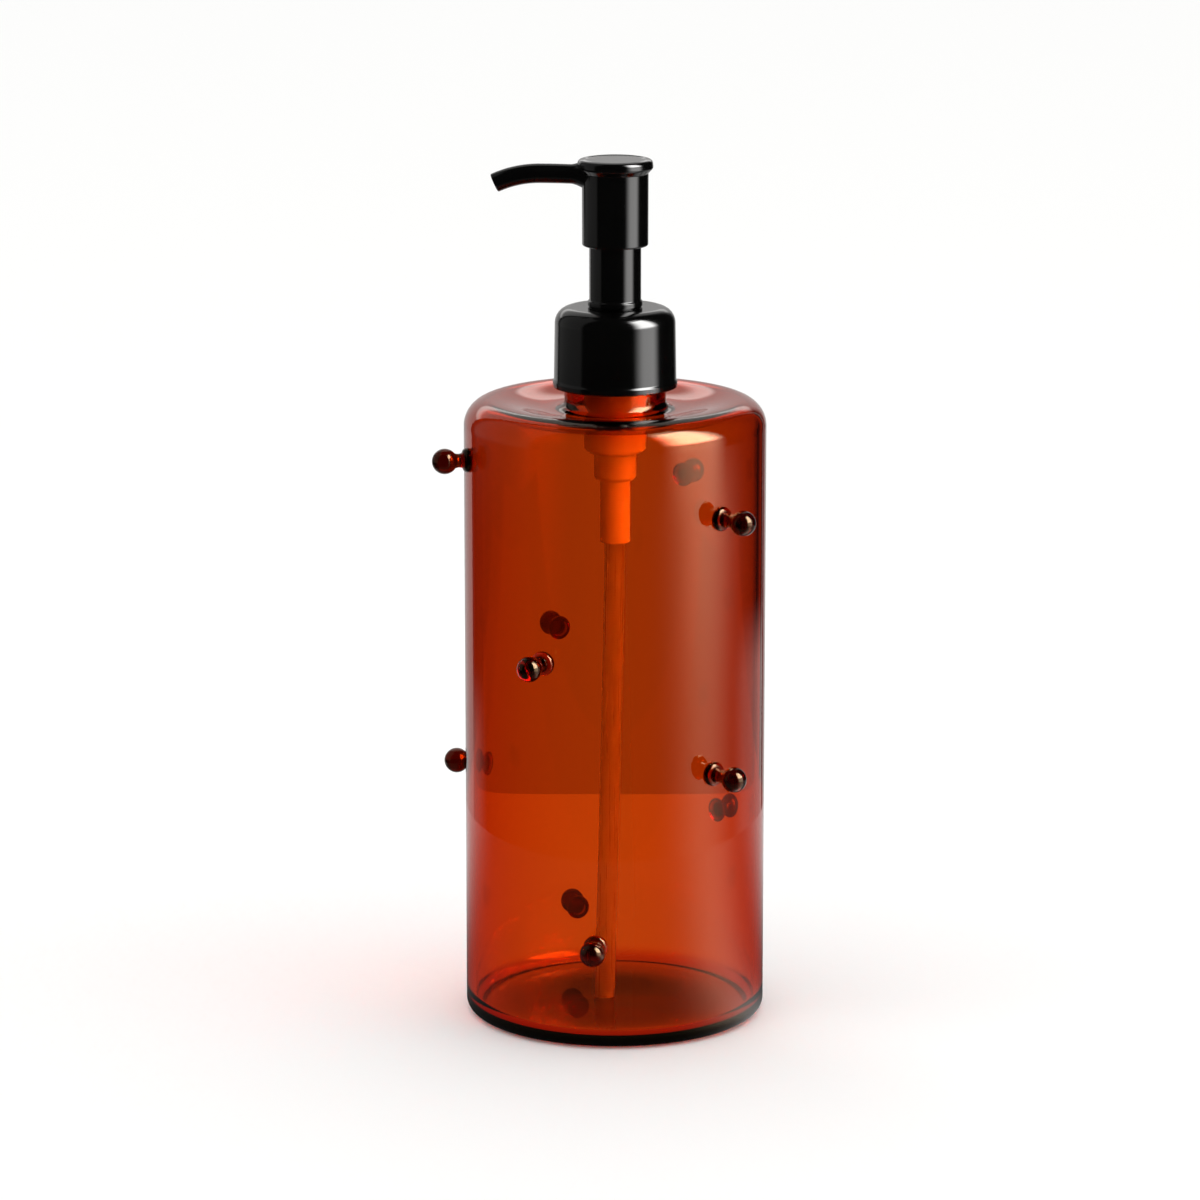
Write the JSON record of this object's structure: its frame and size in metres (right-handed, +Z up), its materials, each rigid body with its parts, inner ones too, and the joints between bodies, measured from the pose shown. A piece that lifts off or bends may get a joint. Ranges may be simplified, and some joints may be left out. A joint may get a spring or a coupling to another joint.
{
  "type": "soap pump dispenser",
  "caption": "Cylindrical amber glass bottle with small glass ball beads on its wall and a black screw-on lotion pump with a curved nozzle.",
  "frame": {"origin": "centre of the bottle's flat base, on the surface that it stands on", "axes": "+Z up along the bottle and pump axis, -X towards the nozzle, -Y towards the side with most beads"},
  "size_m": [0.0825, 0.0922, 0.2162],
  "materials": {
    "amber_glass": "clear amber glass, polished",
    "black_plastic": "glossy moulded black",
    "natural_plastic": "natural polypropylene, satin",
    "clear_tube": "translucent extruded tube",
    "soft_seal": "soft natural polyethylene",
    "spring_steel": "drawn stainless spring wire",
    "valve_glass": "clear glass ball"
  },
  "bodies": {
    "bottle": {"glass_bottle": "amber_glass", "glass_bead_01": "amber_glass", "glass_bead_02": "amber_glass", "glass_bead_03": "amber_glass", "glass_bead_04": "amber_glass", "glass_bead_05": "amber_glass", "glass_bead_06": "amber_glass", "glass_bead_07": "amber_glass", "glass_bead_08": "amber_glass", "glass_bead_09": "amber_glass", "glass_bead_10": "amber_glass"},
    "gasket": {"neck_gasket": "soft_seal"},
    "pump_body": {"pump_housing": "natural_plastic", "guide_tower": "black_plastic", "dip_tube": "clear_tube", "return_spring": "spring_steel"},
    "closure": {"closure": "black_plastic"},
    "plunger": {"stem": "natural_plastic", "piston_seal": "soft_seal"},
    "head": {"actuator_head": "black_plastic"},
    "inlet_valve": {"inlet_ball": "valve_glass"},
    "outlet_valve": {"outlet_ball": "valve_glass"}
  },
  "joints": [
    {"name": "lift_out", "type": "slide", "parent": "bottle", "child": "gasket", "axis": [0, 0, 1], "range_m": [0, 0.19]},
    {"name": "thread_rise", "type": "slide", "parent": "gasket", "child": "pump_body", "axis": [0, 0, 1], "range_m": [0, 0.00635]},
    {"name": "closure_unscrew", "type": "hinge", "parent": "pump_body", "child": "closure", "pos_m": [0, 0, 0.17], "axis": [0, 0, 1], "range_deg": [0, 540]},
    {"name": "pump_stroke", "type": "slide", "parent": "pump_body", "child": "plunger", "axis": [0, 0, -1], "range_m": [0, 0.013], "stiffness_N_per_m": 700, "springref_m": -0.01, "deforming": ["return_spring"]},
    {"name": "head_swivel", "type": "hinge", "parent": "plunger", "child": "head", "pos_m": [0, 0, 0.2], "axis": [0, 0, 1], "continuous": true},
    {"name": "inlet_ball_lift", "type": "slide", "parent": "pump_body", "child": "inlet_valve", "axis": [0, 0, 1], "range_m": [0, 0.0018]},
    {"name": "outlet_ball_lift", "type": "slide", "parent": "plunger", "child": "outlet_valve", "axis": [0, 0, 1], "range_m": [0, 0.0025]}
  ],
  "couplings": [
    {"joint": "closure_unscrew", "follows": "thread_rise", "rad_per_m": 1484.2}
  ]
}
